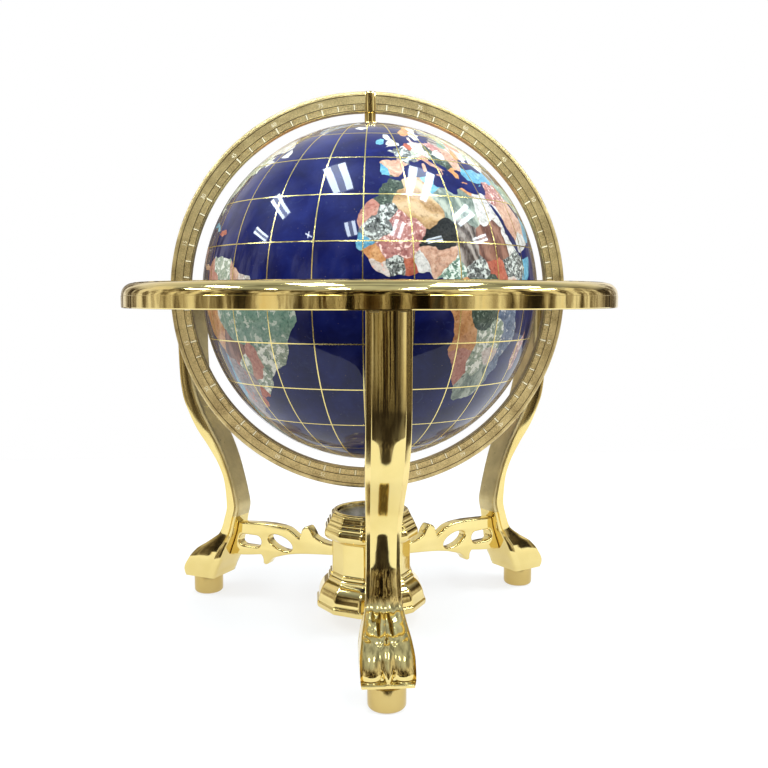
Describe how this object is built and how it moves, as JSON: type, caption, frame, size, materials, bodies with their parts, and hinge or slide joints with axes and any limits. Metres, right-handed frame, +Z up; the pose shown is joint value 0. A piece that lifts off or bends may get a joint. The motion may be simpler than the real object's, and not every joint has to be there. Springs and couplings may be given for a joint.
{
  "type": "terrestrial gemstone globe",
  "caption": "Inlaid gemstone globe that spins in a full meridian ring, which turns inside a round horizon ring on a cabriole-leg stand with a compass plinth.",
  "frame": {"origin": "on the floor, under the globe's upright axis, at the centre of the horizon ring's outline", "axes": "+Z up along the globe's polar axis at rest, the front leg towards -Y, the meridian ring's tilt axis along X"},
  "size_m": [0.481, 0.481, 0.5314],
  "materials": {
    "polished_gold": "mirror-polished yellow gold plating with soft casting waviness",
    "antique_gold": "satin antique gold, fine-grained, with dark engraved scale lines",
    "plain_steel": "plain zinc-plated steel",
    "gemstone": "polished lapis-blue ocean with inlaid stone countries and brass graticule wires under a clear gloss coat",
    "moulded_core": "plain moulded resin, hidden inside",
    "compass_dial": "satin grey dial with dark degree marks",
    "needle_steel": "blued steel with a pale south half",
    "clear_glass": "clear flat glass"
  },
  "bodies": {
    "stand": {"horizon_ring": "polished_gold", "leg_front": "polished_gold", "leg_screw_front": "plain_steel", "foot_pad_front": "polished_gold", "foot_screw_front": "plain_steel", "stretcher_front": "polished_gold", "stretcher_stud_front": "plain_steel", "plinth_screw_front": "plain_steel", "leg_right": "polished_gold", "leg_screw_right": "plain_steel", "foot_pad_right": "polished_gold", "foot_screw_right": "plain_steel", "stretcher_right": "polished_gold", "stretcher_stud_right": "plain_steel", "plinth_screw_right": "plain_steel", "leg_left": "polished_gold", "leg_screw_left": "plain_steel", "foot_pad_left": "polished_gold", "foot_screw_left": "plain_steel", "stretcher_left": "polished_gold", "stretcher_stud_left": "plain_steel", "plinth_screw_left": "plain_steel", "tilt_pin_right": "plain_steel", "tilt_spacer_right": "polished_gold", "tilt_pin_left": "plain_steel", "tilt_spacer_left": "polished_gold", "plinth_base": "polished_gold", "plinth_column": "polished_gold", "plinth_cap": "polished_gold", "plinth_bottom_plate": "plain_steel", "tie_rod": "plain_steel", "tie_nut": "plain_steel", "compass_case": "polished_gold", "compass_dial": "compass_dial", "compass_pivot": "plain_steel", "compass_glass": "clear_glass", "compass_bezel": "polished_gold"},
    "meridian": {"meridian_ring": "antique_gold", "polar_axle_north": "plain_steel", "polar_axle_south": "plain_steel", "polar_spacer_north": "polished_gold", "polar_spacer_south": "polished_gold"},
    "globe": {"stone_skin": "gemstone", "core_north": "moulded_core", "core_south": "moulded_core", "joint_band": "moulded_core", "pole_bushing_north": "polished_gold", "pole_bushing_south": "polished_gold"},
    "needle": {"compass_needle": "needle_steel", "needle_cap": "polished_gold"}
  },
  "joints": [
    {"name": "meridian_tilt", "type": "hinge", "parent": "stand", "child": "meridian", "pos_m": [0, 0, 0.3345], "axis": [1, 0, 0], "continuous": true},
    {"name": "globe_spin", "type": "hinge", "parent": "meridian", "child": "globe", "pos_m": [0, 0, 0.3345], "axis": [0, 0, 1], "continuous": true},
    {"name": "compass_swing", "type": "hinge", "parent": "stand", "child": "needle", "pos_m": [0, 0, 0.1085], "axis": [0, 0, 1], "continuous": true}
  ]
}
